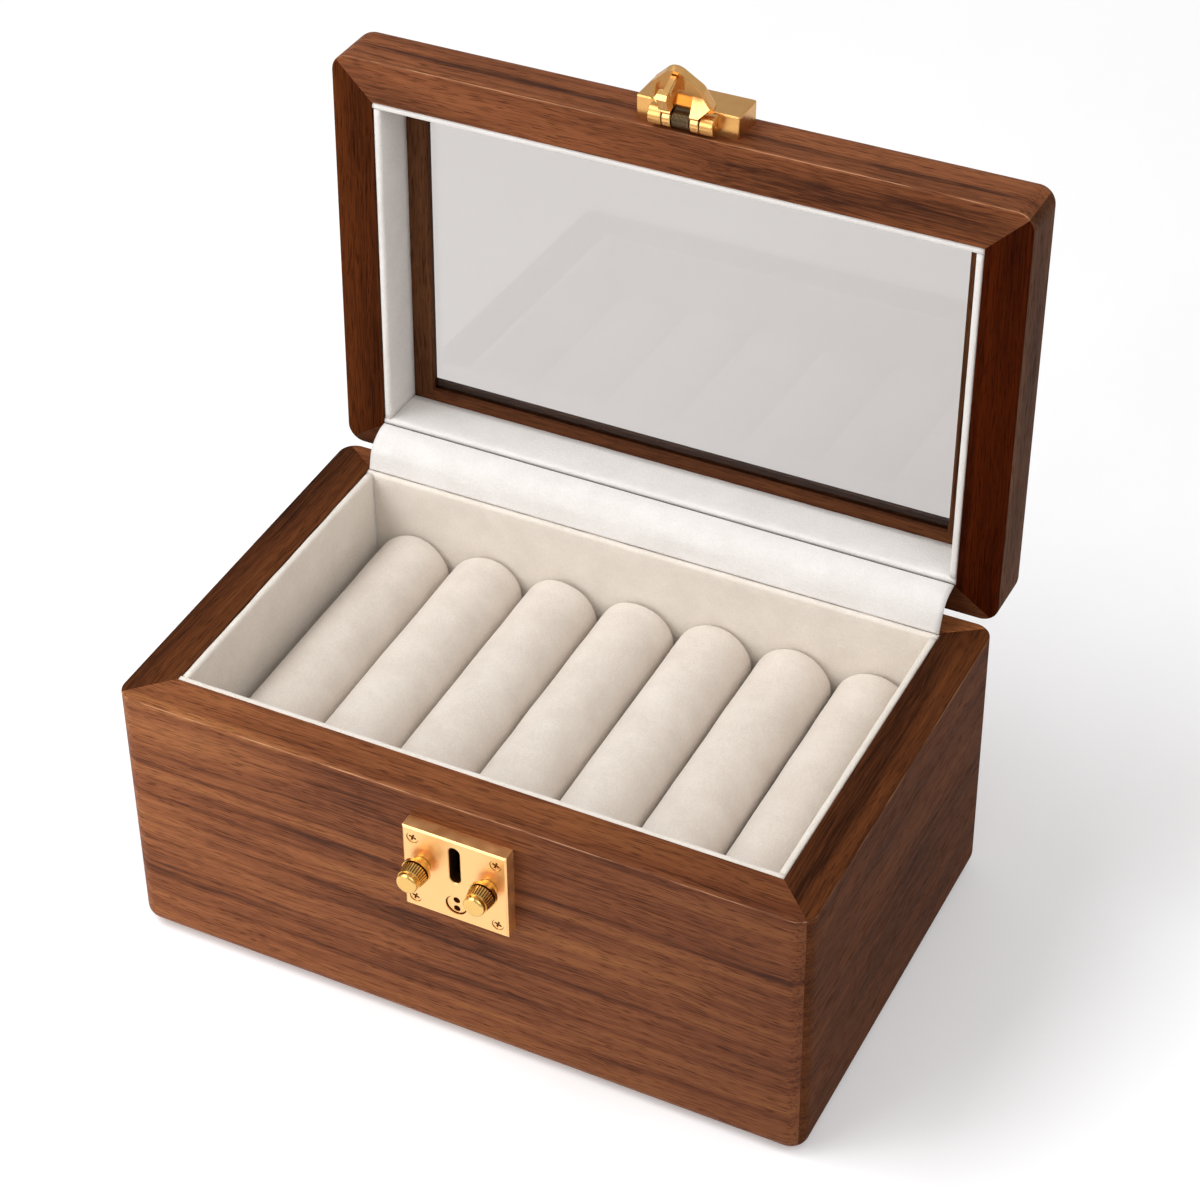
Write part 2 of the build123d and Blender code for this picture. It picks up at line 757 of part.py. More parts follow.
def hasp():
    """Leaf, straps, rings and hook of the hasp in one casting, hanging shut."""
    low = hasp_y - plate_front_y + leaf_stand_off
    high = low + leaf_thickness
    leaf = on_leaf(leaf_outline(0), low, high)
    leaf = fillet(leaf.faces().sort_by(Axis.Y)[0].edges(), leaf_round)
    leaf -= on_leaf(leaf_outline(leaf_shell), low - 1, high - leaf_shell)
    s = strap_half_thickness
    foot_u, head_u = leaf_near + strap_foot, leaf_near + strap_run
    profile = [(0, -s), (strap_flare_start, -s), (foot_u, low), (head_u, high - leaf_shell / 2),
               (leaf_near, high - leaf_shell), (0, s)]
    for side in (-1, 1):
        plan = [(ring_inner_x, 0), (ring_outer_x, 0), (ring_outer_x, strap_flare_start),
                (strap_flare_x, foot_u), (strap_flare_x, head_u), (ring_inner_x, head_u)]
        plan = [(side * x, u) for x, u in plan]
        outline = make_face(Polyline(*plan, close=True))
        leaf += in_profile(profile, leaf_half_width) & on_leaf(outline, -s - 1, high)
        x0, x1 = sorted((side * ring_inner_x, side * ring_outer_x))
        leaf += hasp_knuckle(lock_x + x0, lock_x + x1)
    foot_top = low - leaf_stand_off - plate_thickness - foot_gap
    foot_end = foot_top - foot_height
    root = high - leaf_shell / 2
    fin = [(gusset_near, root), (hook_near, low), (hook_near, foot_top), (hook_far, foot_top),
           (hook_far, root)]
    leaf += in_profile(fin, hook_thickness / 2)
    rod_z = hasp_z - hook_far + hook_rod_radius
    leaf += rod_y(hook_rod_radius, hasp_y - root, hasp_y - foot_top, lock_x, rod_z)
    ring_y = hasp_y - foot_top - hook_ring_length
    leaf += rod_y(hook_ring_radius, ring_y, hasp_y - foot_top, lock_x, rod_z)
    foot = [(foot_near, foot_top), (foot_near, foot_end + foot_slant),
            (foot_near + foot_slant, foot_end), (foot_far - foot_slant, foot_end),
            (foot_far, foot_end + foot_slant), (foot_far, foot_top)]
    leaf += in_profile(foot, foot_width / 2)
    bore = hasp_pin_radius + running_clearance
    return leaf - rod_x(bore, lock_x - block_width, lock_x + block_width, hasp_y, hasp_z)


def save(name, shape):
    """Write one piece, or a group of like pieces, under its name."""
    solids = shape if isinstance(shape, list) else shape.solids()
    body = solids[0] if len(solids) == 1 else Compound(list(solids))
    export_step(body, f"parts/{name}.step")


def build():
    os.makedirs("parts", exist_ok=True)
    for side, panel in base_panels().items():
        save(f"base_{side}_panel", panel)
    save("base_bottom_panel", bottom_panel())
    save("felt_pad", felt_pad())
    save("floor_batten_front", batten(True))
    save("floor_batten_back", batten(False))
    save("floor_board", floor_board())
    for side in SIDES:
        save(f"base_{side}_liner", liner(side, floor_top_z, base_height - liner_drop, True))
    for index in range(roll_count):
        save(f"roll_{index + 1}", roll(index))
    save("lock_plate", lock_plate())
    save("lock_plate_screws", [plate_screw(x, z).solid() for x, z in plate_screw_places()])
    save("lock_case", lock_case())
    save("lock_plug", lock_plug())
    save("lock_plug_tail", plug_tail())
    for name, side in (("left", -1), ("right", 1)):
        save(f"knob_{name}", knob(side))
        save(f"knob_cam_{name}", knob_cam(side))
        save(f"hinge_base_leaf_{name}", base_leaf(side * hinge_x, 0, hinge_pin_radius))
        save(f"hinge_pin_{name}", hinge_pin(side * hinge_x))
        save(f"hinge_lid_leaf_{name}", opened(lid_leaf(side * hinge_x)))
    base_screws = [hinge_screw(x, base_height, False).solid() for x in screw_places()]
    lid_screws = [opened(hinge_screw(x, lid_rim_z, True)).solid() for x in screw_places()]
    save("hinge_base_screws", base_screws)
    save("hinge_lid_screws", lid_screws)
    for side, rail in lid_rails().items():
        save(f"lid_{side}_rail", opened(rail))
        lining = liner(side, lid_rim_z + liner_drop, lid_rim_z + lip_depth, False)
        save(f"lid_{side}_liner", opened(lining))
    save("glass_pane", opened(glass_pane()))
    save("glazing_beads", [opened(bead).solid() for bead in glazing_beads()])
    save("hinge_cover", hinge_cover())
    save("hasp_block", opened(hasp_block()))
    save("hasp_block_screws", [opened(block_screw(x)).solid() for x in block_screw_places()])
    save("hasp_pin", opened(hasp_pin()))
    save("hasp_spring", opened(hasp_spring()))
    save("hasp", opened(hasp().rotate(hasp_axis, -hasp_rest_angle)))


build()
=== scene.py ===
import math

import bmesh
import bpy
import numpy as np
from mathutils import Matrix, Vector, noise


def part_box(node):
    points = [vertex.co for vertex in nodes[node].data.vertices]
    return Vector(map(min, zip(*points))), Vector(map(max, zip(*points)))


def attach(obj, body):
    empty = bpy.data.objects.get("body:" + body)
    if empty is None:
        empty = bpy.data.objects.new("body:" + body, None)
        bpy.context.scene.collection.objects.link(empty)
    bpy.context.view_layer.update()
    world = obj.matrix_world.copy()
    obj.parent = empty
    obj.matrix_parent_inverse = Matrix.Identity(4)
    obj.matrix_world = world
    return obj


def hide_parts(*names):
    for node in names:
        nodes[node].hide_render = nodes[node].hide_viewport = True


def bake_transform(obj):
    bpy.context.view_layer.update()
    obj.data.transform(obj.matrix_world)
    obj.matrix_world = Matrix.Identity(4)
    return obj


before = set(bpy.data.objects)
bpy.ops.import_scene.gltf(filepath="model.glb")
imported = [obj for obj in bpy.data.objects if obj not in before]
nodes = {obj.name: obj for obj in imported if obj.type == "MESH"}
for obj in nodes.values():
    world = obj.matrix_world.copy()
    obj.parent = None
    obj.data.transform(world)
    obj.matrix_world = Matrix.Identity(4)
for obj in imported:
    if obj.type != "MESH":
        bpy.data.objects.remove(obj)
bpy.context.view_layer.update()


# Camera
# A long lens stands to the right of the front and looks down on the box.
# Its place, lens and small shift come from the box's own edges in the photograph.
camera_data = bpy.data.cameras.new("camera")
camera_data.lens = 96.84
camera_data.shift_x = 0.1333
camera_data.shift_y = -0.0833
camera = bpy.data.objects.new("camera", camera_data)
camera.location = (0.47411, -0.91044, 0.98732)
camera.rotation_euler = [math.radians(a) for a in (53.0101, 2.2596, 28.3101)]
bpy.context.scene.collection.objects.link(camera)
bpy.context.scene.camera = camera
bpy.context.scene.view_settings.view_transform = "Standard"


# Light
# A large soft lamp high on the left, a smaller one near the left front, and a fill on the right.
# The room is darker than its table, so brass shows a bright front and darker tops and sides.
def linear(hex_colour):
    """sRGB hex colour as the linear colour that a socket takes."""
    parts = [int(hex_colour[i:i + 2], 16) / 255 for i in (1, 3, 5)]
    return [*(p / 12.92 if p <= 0.04045 else ((p + 0.055) / 1.055) ** 2.4 for p in parts), 1.0]


def add(tree, kind, sockets=None, **settings):
    """Adds one shader node; sockets holds a value or a link for each input by name or place."""
    made = tree.nodes.new("ShaderNode" + kind)
    for key, value in settings.items():
        setattr(made, key, value)
    for key, value in (sockets or {}).items():
        if isinstance(value, bpy.types.NodeSocket):
            tree.links.new(value, made.inputs[key])
        else:
            made.inputs[key].default_value = value
    return made


lamp_aim = Vector((0, 0, 0.12))


def soft_lamp(name, place, size, power, tint):
    """Round lamp of the given width in metres and power in watts, turned to the box."""
    lamp = bpy.data.lights.new(name, "AREA")
    lamp.shape = "DISK"
    lamp.size = size
    lamp.energy = power
    lamp.color = linear(tint)[:3]
    holder = bpy.data.objects.new(name, lamp)
    holder.location = place
    holder.rotation_euler = (lamp_aim - Vector(place)).to_track_quat("-Z", "Y").to_euler()
    bpy.context.scene.collection.objects.link(holder)


soft_lamp("key_lamp", (-1.25, -0.45, 2.1), 1.5, 29.5, "#F9FCFF")
soft_lamp("front_lamp", (-0.6, -0.9, 0.65), 0.8, 6.0, "#FFFFFF")
soft_lamp("fill_lamp", (1.2, -0.6, 1.7), 1.7, 12.5, "#FFFFFF")

# The room lights the box at half strength, is mirrored a little brighter, and is seen white.
room = bpy.data.worlds.new("room")
room.use_nodes = True
bpy.context.scene.world = room
walls = room.node_tree
walls.nodes.clear()
ray = add(walls, "LightPath")
seen = add(walls, "Math", {0: ray.outputs["Is Camera Ray"], 1: ray.outputs["Is Transmission Ray"]},
           operation="MAXIMUM")
lit = add(walls, "Background", {"Color": linear("#F8F7F7"), "Strength": 0.5})
mirrored = add(walls, "Background", {"Color": linear("#FFFFFF"), "Strength": 0.65})
backdrop = add(walls, "Background", {"Color": linear("#FFFFFF"), "Strength": 1.0})
gloss = add(walls, "MixShader", {0: ray.outputs["Is Glossy Ray"], 1: lit.outputs[0],
                                 2: mirrored.outputs[0]})
sky = add(walls, "MixShader", {0: seen.outputs[0], 1: gloss.outputs[0], 2: backdrop.outputs[0]})
add(walls, "OutputWorld", {"Surface": sky.outputs[0]})


# Floor
# White acrylic light table. Its own weak glow meets the white room and softens the shadow of the box.
# Its front edge is just outside the picture, and what lies before it is as dark as the room.
# Far from the box the camera sees it fade into the white backdrop.
def start_material(name):
    """New material with an empty node tree."""
    material = bpy.data.materials.new(name)
    material.use_nodes = True
    material.node_tree.nodes.clear()
    return material, material.node_tree


def white_acrylic():
    """Matt white acrylic with a weak glow, which the camera sees as plain white far away."""
    glow = 0.14
    fade_start, fade_end = 0.5, 1.2
    material, tree = start_material("white_acrylic")
    grain = add(tree, "TexNoise", {"Scale": 60.0, "Detail": 3.0})
    tone = add(tree, "Mix", {0: grain.outputs[0], 6: linear("#F4F3F3"), 7: linear("#F8F7F7")},
               data_type="RGBA")
    table = add(tree, "BsdfPrincipled", {"Base Color": tone.outputs[2], "Roughness": 0.9,
                                         "Specular IOR Level": 0.1,
                                         "Emission Color": linear("#FFFFFF"),
                                         "Emission Strength": glow})
    ray = add(tree, "LightPath")
    place = add(tree, "TexCoord")
    away = add(tree, "VectorMath", {0: place.outputs["Object"]}, operation="LENGTH")
    fade = add(tree, "MapRange", {"Value": away.outputs["Value"], "From Min": fade_start,
                                  "From Max": fade_end})
    share = add(tree, "Math", {0: fade.outputs[0], 1: ray.outputs["Is Camera Ray"]},
                operation="MULTIPLY")
    white = add(tree, "Emission", {"Color": linear("#FFFFFF"), "Strength": 1.0})
    seen = add(tree, "MixShader", {0: share.outputs[0], 1: table.outputs[0], 2: white.outputs[0]})
    add(tree, "OutputMaterial", {"Surface": seen.outputs[0]})
    return material


floor_side, floor_front, floor_back = 1.2, -0.75, 3.0
floor_mesh = bpy.data.meshes.new("floor")
floor_mesh.from_pydata([(-floor_side, floor_front, 0), (floor_side, floor_front, 0),
                        (floor_side, floor_back, 0), (-floor_side, floor_back, 0)], [], [(0, 1, 2, 3)])
floor = bpy.data.objects.new("floor", floor_mesh)
bpy.context.scene.collection.objects.link(floor)
floor_mesh.materials.append(white_acrylic())


# Case panels
# Four boards of American walnut, 19 mm thick with a 13 mm back, mitred and glued at the corners.
# They are planed, sanded and oiled, which leaves a satin surface with open pores.
def walnut(name, along, across, shades, shift, heart, rim, rim_tone="#FFFFFF", arris_highlight=0.6,
           gloss=0.1, painted_falloff=("#FFFFFF", "#FFFFFF")):
    """Oiled walnut cut with its grain along one direction and its rings round a heart line.

    The rings make the long streaks, the fibres the fine lines, and the pores the short dark dashes.
    The rim is given by its outward direction and its distance from the origin. A paler line on
    its arris is a painted highlight of the rounded edge, with a strength given per board. Its
    face has a tone of its own, and the board is painted darker towards one end, as painted
    shade where the lamps' light falls off.
    """
    sway = 0.006
    ring_width = 0.0045
    half_board = 0.14
    arris_start, arris_full = 0.0011, 0.0009
    face_start, face_full = 0.0007, 0.0005
    ring_part, fibre_part, cloud_part = 0.42, 0.42, 0.46
    pore_dark = 0.6
    material, tree = start_material(name)
    through = Vector(along).cross(Vector(across))
    turn = Matrix((along, across, through)).to_euler()
    place = add(tree, "TexCoord")
    grain = add(tree, "Mapping", {"Vector": place.outputs["Object"], "Location": shift,
                                  "Rotation": turn})
    slow = add(tree, "Mapping", {"Vector": grain.outputs[0], "Scale": (5.0, 14.0, 14.0)})
    drift = add(tree, "TexNoise", {"Vector": slow.outputs[0], "Scale": 1.0, "Detail": 3.0,
                                   "Roughness": 0.55})
    centred = add(tree, "VectorMath", {0: drift.outputs["Color"], 1: (0.5, 0.5, 0.5)},
                  operation="SUBTRACT")
    bent = add(tree, "VectorMath", {0: centred.outputs[0], 1: (0.0, sway * 2, sway * 2)},
               operation="MULTIPLY")
    swayed = add(tree, "VectorMath", {0: grain.outputs[0], 1: bent.outputs[0]}, operation="ADD")
    from_heart = add(tree, "VectorMath", {0: swayed.outputs[0], 1: (0.0, *heart)}, operation="ADD")
    flat = add(tree, "VectorMath", {0: from_heart.outputs[0], 1: (0.0, 1.0, 1.0)},
               operation="MULTIPLY")
    ring_distance = add(tree, "VectorMath", {0: flat.outputs[0]}, operation="LENGTH")
    # A growth ring is about 4.5 mm wide.
    rings = add(tree, "TexNoise", {"W": ring_distance.outputs["Value"], "Scale": 1 / ring_width,
                                   "Detail": 4.0, "Roughness": 0.62}, noise_dimensions="1D")
    # Fibres show as lines about 1 mm apart and 40 mm long.
    thin = add(tree, "Mapping", {"Vector": swayed.outputs[0], "Scale": (24.0, 1100.0, 1100.0)})
    fibre = add(tree, "TexNoise", {"Vector": thin.outputs[0], "Scale": 1.0, "Detail": 4.0,
                                   "Roughness": 0.65})
    broad = add(tree, "Mapping", {"Vector": swayed.outputs[0], "Scale": (7.0, 55.0, 55.0)})
    cloud = add(tree, "TexNoise", {"Vector": broad.outputs[0], "Scale": 1.0, "Detail": 3.0})
    # Pores are 0.3 mm wide in walnut and drawn 0.5 mm wide, about 9 mm long, so that they show.
    short = add(tree, "Mapping", {"Vector": swayed.outputs[0], "Scale": (110.0, 2000.0, 2000.0)})
    cells = add(tree, "TexNoise", {"Vector": short.outputs[0], "Scale": 1.0, "Detail": 1.0})
    pores = add(tree, "MapRange", {"Value": cells.outputs[0], "From Min": 0.54, "From Max": 0.66})
    ringed = add(tree, "Math", {0: rings.outputs[0], 1: ring_part}, operation="MULTIPLY")
    fibrous = add(tree, "Math", {0: fibre.outputs[0], 1: fibre_part, 2: ringed.outputs[0]},
                  operation="MULTIPLY_ADD")
    both = add(tree, "Math", {0: cloud.outputs[0], 1: cloud_part, 2: fibrous.outputs[0]},
               operation="MULTIPLY_ADD")
    ramp = add(tree, "ValToRGB", {"Fac": both.outputs[0]})
    ramp.color_ramp.elements[0].position = 0.49
    ramp.color_ramp.elements[1].position = 0.83
    ramp.color_ramp.elements[0].color = linear(shades[0])
    ramp.color_ramp.elements[1].color = linear(shades[3])
    ramp.color_ramp.elements.new(0.59).color = linear(shades[1])
    ramp.color_ramp.elements.new(0.69).color = linear(shades[2])
    depth = add(tree, "Math", {0: pores.outputs[0], 1: pore_dark}, operation="MULTIPLY")
    colour = add(tree, "Mix", {0: depth.outputs[0], 6: ramp.outputs[0], 7: linear(shades[0])},
                 data_type="RGBA")
    direction, distance = rim
    level = add(tree, "VectorMath", {0: place.outputs["Object"], 1: direction},
                operation="DOT_PRODUCT")
    low_edge = add(tree, "MapRange", {"Value": level.outputs["Value"],
                                      "From Min": distance - arris_start,
                                      "From Max": distance - arris_full})
    on_face = add(tree, "MapRange", {"Value": level.outputs["Value"],
                                     "From Min": distance - face_start,
                                     "From Max": distance - face_full})
    on_arris = add(tree, "Math", {0: low_edge.outputs[0], 1: on_face.outputs[0]},
                   operation="SUBTRACT")
    # The paler line along the arris is a painted highlight of the rounded edge, broken up along the
    # fibres.
    broken = add(tree, "MapRange", {"Value": fibre.outputs[0], "From Min": 0.4, "From Max": 0.6})
    highlight_share = add(tree, "Math", {0: broken.outputs[0], 1: arris_highlight}, operation="MULTIPLY")
    highlight_on_arris = add(tree, "Math", {0: on_arris.outputs[0], 1: highlight_share.outputs[0]},
                 operation="MULTIPLY")
    highlighted = add(tree, "Mix", {0: highlight_on_arris.outputs[0], 6: colour.outputs[2], 7: linear("#D8A57E")},
                data_type="RGBA")
    face_tone = add(tree, "Mix", {0: 1.0, 6: highlighted.outputs[2], 7: linear(rim_tone)},
                    data_type="RGBA", blend_type="MULTIPLY")
    whole = add(tree, "Mix", {0: on_face.outputs[0], 6: highlighted.outputs[2],
                              7: face_tone.outputs[2]}, data_type="RGBA")
    # Painted shade: the colour is darkened from one end of the board to the other, where the lamps'
    # light falls off across it.
    reach = add(tree, "VectorMath", {0: place.outputs["Object"], 1: along}, operation="DOT_PRODUCT")
    share = add(tree, "MapRange", {"Value": reach.outputs["Value"], "From Min": -half_board,
                                   "From Max": half_board})
    falloff_tone = add(tree, "Mix", {0: share.outputs[0], 6: linear(painted_falloff[0]), 7: linear(painted_falloff[1])},
               data_type="RGBA")
    colour = add(tree, "Mix", {0: 1.0, 6: whole.outputs[2], 7: falloff_tone.outputs[2]},
                 data_type="RGBA", blend_type="MULTIPLY")
    worn = add(tree, "MapRange", {"Value": fibre.outputs[0], "From Min": 0.3, "From Max": 0.7,
                                  "To Min": 0.45, "To Max": 0.6})
    rough = add(tree, "Math", {0: pores.outputs[0], 1: 0.25, 2: worn.outputs[0]},
                operation="MULTIPLY_ADD")
    height = add(tree, "Math", {0: pores.outputs[0], 1: -1.0, 2: fibre.outputs[0]},
                 operation="MULTIPLY_ADD")
    bump = add(tree, "Bump", {"Height": height.outputs[0], "Strength": 0.35, "Distance": 0.00012})
    oiled = add(tree, "BsdfPrincipled", {"Base Color": colour.outputs[2],
                                         "Roughness": rough.outputs[0],
                                         "Normal": bump.outputs[0],
                                         "IOR": 1.5, "Specular IOR Level": gloss})
    add(tree, "OutputMaterial", {"Surface": oiled.outputs[0]})
    return material


def dress(node, material):
    """Gives a CAD node its material."""
    mesh = nodes[node].data
    mesh.materials.clear()
    mesh.materials.append(material)


RIGHT, BACK, UP = (1.0, 0.0, 0.0), (0.0, 1.0, 0.0), (0.0, 0.0, 1.0)
warm = ("#432210", "#764225", "#8D5431", "#A0673B")
grey_brown = ("#2C160A", "#4A2815", "#583018", "#663C20")
base_height = 0.13
base_rim = (UP, base_height)
# The front is painted darker towards its right end, as shade where the lamps' light falls off.
dress("base_front_panel", walnut("walnut_front", RIGHT, UP, warm, (0.3, 0.0, 0.0), (0.16, 0.11),
                                 base_rim, arris_highlight=0.9, painted_falloff=("#FFFFFF", "#C8C1BE")))
dress("base_back_panel", walnut("walnut_back", RIGHT, UP, warm, (1.1, 0.3, 0.2), (0.12, 0.15),
                                base_rim))
dress("base_left_panel", walnut("walnut_left", BACK, UP, grey_brown, (0.7, 0.1, 0.5), (0.2, 0.1),
                                base_rim, arris_highlight=0.3, gloss=0.02))
dress("base_right_panel", walnut("walnut_right", BACK, UP, grey_brown, (0.2, 0.6, 0.1),
                                 (0.22, 0.05), base_rim, arris_highlight=0.3, gloss=0.02))


# Underside
# Bottom board of birch plywood in a rebate, two beech battens inside and a pad of wool felt.
# The felt is glued on from below and keeps the box from scratching a table.
def plain_wood(name, along, across, pale, dark):
    """Unfinished light wood with fine straight fibres and a dry surface."""
    material, tree = start_material(name)
    through = Vector(along).cross(Vector(across))
    place = add(tree, "TexCoord")
    grain = add(tree, "Mapping", {"Vector": place.outputs["Object"],
                                  "Rotation": Matrix((along, across, through)).to_euler()})
    thin = add(tree, "Mapping", {"Vector": grain.outputs[0], "Scale": (12.0, 400.0, 400.0)})
    fibre = add(tree, "TexNoise", {"Vector": thin.outputs[0], "Scale": 1.0, "Detail": 6.0})
    tone = add(tree, "Mix", {0: fibre.outputs[0], 6: linear(dark), 7: linear(pale)},
               data_type="RGBA")
    bump = add(tree, "Bump", {"Height": fibre.outputs[0], "Strength": 0.3, "Distance": 0.0001})
    dry = add(tree, "BsdfPrincipled", {"Base Color": tone.outputs[2], "Roughness": 0.7,
                                       "Normal": bump.outputs[0]})
    add(tree, "OutputMaterial", {"Surface": dry.outputs[0]})
    return material


dress("base_bottom_panel", plain_wood("birch_plywood", RIGHT, BACK, "#D8BE94", "#B8996C"))
beech = plain_wood("beech", RIGHT, UP, "#D3AE84", "#B58A60")
dress("floor_batten_front", beech)
dress("floor_batten_back", beech)


def mesh_object(name, corners, faces, material, smooth=True):
    """Object with one material, made of the given corners and faces, which all face outwards."""
    mesh = bpy.data.meshes.new(name)
    mesh.from_pydata([tuple(c) for c in corners], [], faces)
    mesh.validate()
    bm = bmesh.new()
    bm.from_mesh(mesh)
    bmesh.ops.recalc_face_normals(bm, faces=bm.faces)
    bm.to_mesh(mesh)
    bm.free()
    mesh.polygons.foreach_set("use_smooth", [smooth] * len(mesh.polygons))
    mesh.materials.append(material)
    made = bpy.data.objects.new(name, mesh)
    bpy.context.scene.collection.objects.link(made)
    return made


def swept(sections):
    """Corners and faces of a skin over equal closed outlines, with a flat face at each end."""
    count = len(sections[0])
    corners = [c for outline in sections for c in outline]
    faces = []
    for step in range(len(sections) - 1):
        for i in range(count):
            j = (i + 1) % count
            a, b = step * count, (step + 1) * count
            faces.append((a + i, a + j, b + j, b + i))
    faces.append(tuple(range(count - 1, -1, -1)))
    last = (len(sections) - 1) * count
    faces.append(tuple(range(last, last + count)))
    return corners, faces


def wool_felt():
    """Pressed wool, dull and slightly mottled, with fibres that lift off the surface."""
    material, tree = start_material("wool_felt")
    place = add(tree, "TexCoord")
    tufts = add(tree, "TexNoise", {"Vector": place.outputs["Object"], "Scale": 1 / 0.0012,
                                   "Detail": 5.0, "Roughness": 0.7})
    tone = add(tree, "Mix", {0: tufts.outputs[0], 6: linear("#3A2B22"), 7: linear("#5A463A")},
               data_type="RGBA")
    bump = add(tree, "Bump", {"Height": tufts.outputs[0], "Strength": 0.6, "Distance": 0.0003})
    felt = add(tree, "BsdfPrincipled", {"Base Color": tone.outputs[2], "Roughness": 0.95,
                                        "Normal": bump.outputs[0], "Sheen Weight": 0.2})
    add(tree, "OutputMaterial", {"Surface": felt.outputs[0]})
    return material


felt_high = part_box("felt_pad")[1]
felt_round = 0.008
felt_corner_steps = 8
felt_edge = 0.0004
felt_outline = []
for corner, (sx, sy) in enumerate(((1, 1), (-1, 1), (-1, -1), (1, -1))):
    for step in range(felt_corner_steps + 1):
        turn = math.radians(90 * corner + 90 * step / felt_corner_steps)
        felt_outline.append((sx * (felt_high.x - felt_round) + felt_round * math.cos(turn),
                             sy * (felt_high.y - felt_round) + felt_round * math.sin(turn)))
felt_layers = []
for inset, z in ((felt_edge, 0.0), (0.0, felt_edge), (0.0, felt_high.z - felt_edge),
                 (felt_edge, felt_high.z)):
    k = 1 - inset / felt_high.y
    felt_layers.append([(x * k, y * k, z) for x, y in felt_outline])
felt = mesh_object("felt_sole", *swept(felt_layers), wool_felt(), smooth=False)
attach(felt, "base")
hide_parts("felt_pad")


# Velvet linings
# Eight card boards wrapped in short-pile cotton velvet and glued to the inside of the walls.
# The cloth turns over each board's free edge, which stands just below the rim.
def velvet(name, pale, dark, sheen=0.35):
    """Short cut pile: pale and dull, with a soft rim light and patches where the nap leans."""
    tuft_part, nap_part = 0.4, 0.6
    nap_patch = 0.016
    material, tree = start_material(name)
    place = add(tree, "TexCoord")
    # The tufts are finer than a pixel, so they are drawn about 1 mm apart.
    tufts = add(tree, "TexNoise", {"Vector": place.outputs["Object"], "Scale": 1 / 0.001,
                                   "Detail": 3.0, "Roughness": 0.6})
    nap = add(tree, "TexNoise", {"Vector": place.outputs["Object"], "Scale": 1 / nap_patch,
                                 "Detail": 4.0, "Roughness": 0.6})
    part = add(tree, "Math", {0: nap.outputs[0], 1: nap_part}, operation="MULTIPLY")
    mottled = add(tree, "Math", {0: tufts.outputs[0], 1: tuft_part, 2: part.outputs[0]},
                  operation="MULTIPLY_ADD")
    spread = add(tree, "MapRange", {"Value": mottled.outputs[0], "From Min": 0.32,
                                    "From Max": 0.68})
    tone = add(tree, "Mix", {0: spread.outputs[0], 6: linear(dark), 7: linear(pale)},
               data_type="RGBA")
    bump = add(tree, "Bump", {"Height": tufts.outputs[0], "Strength": 0.8, "Distance": 0.0004})
    pile = add(tree, "BsdfPrincipled", {"Base Color": tone.outputs[2], "Roughness": 0.95,
                                        "Specular IOR Level": 0.2, "Normal": bump.outputs[0],
                                        "Sheen Weight": sheen, "Sheen Roughness": 0.45,
                                        "Sheen Tint": linear("#FFFFFF")})
    add(tree, "OutputMaterial", {"Surface": pile.outputs[0]})
    return material


cream_velvet = velvet("cream_velvet", "#E8DFD4", "#DAD0C4")
white_velvet = velvet("white_velvet", "#E9E5E1", "#DCD7D2")


# The card and the pile wave the surface a little. Each wave has its count in a metre, a factor
# of the board's place that makes every board differ, and its height.
board_waves = ((90, 50, 0.00012), (420, 80, 0.00006))


def wrapped_board(name, low, high, run, round_up, material, body, node, place=None):
    """Board with softly rounded long edges on one side, running along X (0) or Y (1)."""
    other = 1 - run
    half = (high[other] - low[other]) / 2
    middle = (high[other] + low[other]) / 2
    curve = 0.0016
    row_height, row_length = 0.004, 0.003
    tall = high[2] - low[2]
    steps = max(4, round(tall / row_height))
    side = [(half, low[2] + (tall - curve) * i / steps) for i in range(steps + 1)]
    arc = [(half - curve + curve * math.cos(math.radians(a)),
            high[2] - curve + curve * math.sin(math.radians(a))) for a in (22, 45, 68, 90)]
    near = side + arc
    far = [(-u, w) for u, w in reversed(near)]
    outline = near + far
    if not round_up:
        outline = [(u, low[2] + high[2] - w) for u, w in reversed(outline)]
    length = high[run] - low[run]
    count = round(length / row_length)
    sections = []
    for step in range(count + 1):
        along = low[run] + length * step / count
        section = []
        for u, w in outline:
            wave = sum(noise.noise(Vector((along * often, w * often, middle * part))) * size
                       for often, part, size in board_waves)
            across = middle + u + math.copysign(1, u) * wave
            point = [0.0, 0.0, w + wave]
            point[run], point[other] = along, across
            section.append(point)
        sections.append(section)
    board = mesh_object(name, *swept(sections), material)
    if place is not None:
        board.data.transform(place)
    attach(board, body)
    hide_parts(node)


for side, run in (("front", 0), ("back", 0), ("left", 1), ("right", 1)):
    low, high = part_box(f"base_{side}_liner")
    wrapped_board(f"base_{side}_velvet", low, high, run, True, cream_velvet, "base",
                  f"base_{side}_liner")

# The lid's boards are drawn with the lid shut and swung open with it.
hinge_line = Vector((0.0, 0.09835, 0.1302))
lid_opening = -92
swing = (Matrix.Translation(hinge_line) @ Matrix.Rotation(math.radians(lid_opening), 4, "X")
         @ Matrix.Translation(-hinge_line))
lid_lining_low, lid_lining_high = 0.1307, 0.153
for side, run in (("front", 0), ("back", 0), ("left", 1), ("right", 1)):
    low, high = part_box(f"base_{side}_liner")
    low.z, high.z = lid_lining_low, lid_lining_high
    wrapped_board(f"lid_{side}_velvet", low, high, run, False, white_velvet, "lid",
                  f"lid_{side}_liner", swing)


# Tray floor
# A thin board on the battens, covered in the same cream velvet. Little of it shows.
dress("floor_board", cream_velvet)


# Rolls
# Seven rolls of the same velvet over wadding round a card tube, sewn shut at both ends.
# They lie side by side on the tray floor and lift out one by one.
# The rolls take a darker copy of the cream velvet, as painted shade, because their tops face the
# lamps; the cloth is the same.
shaded_roll_velvet = velvet("shaded_roll_velvet", "#E2D8CD", "#D2C6BA", sheen=0.3)
roll_swell = 0.0007
wadding_pressure = 4.0


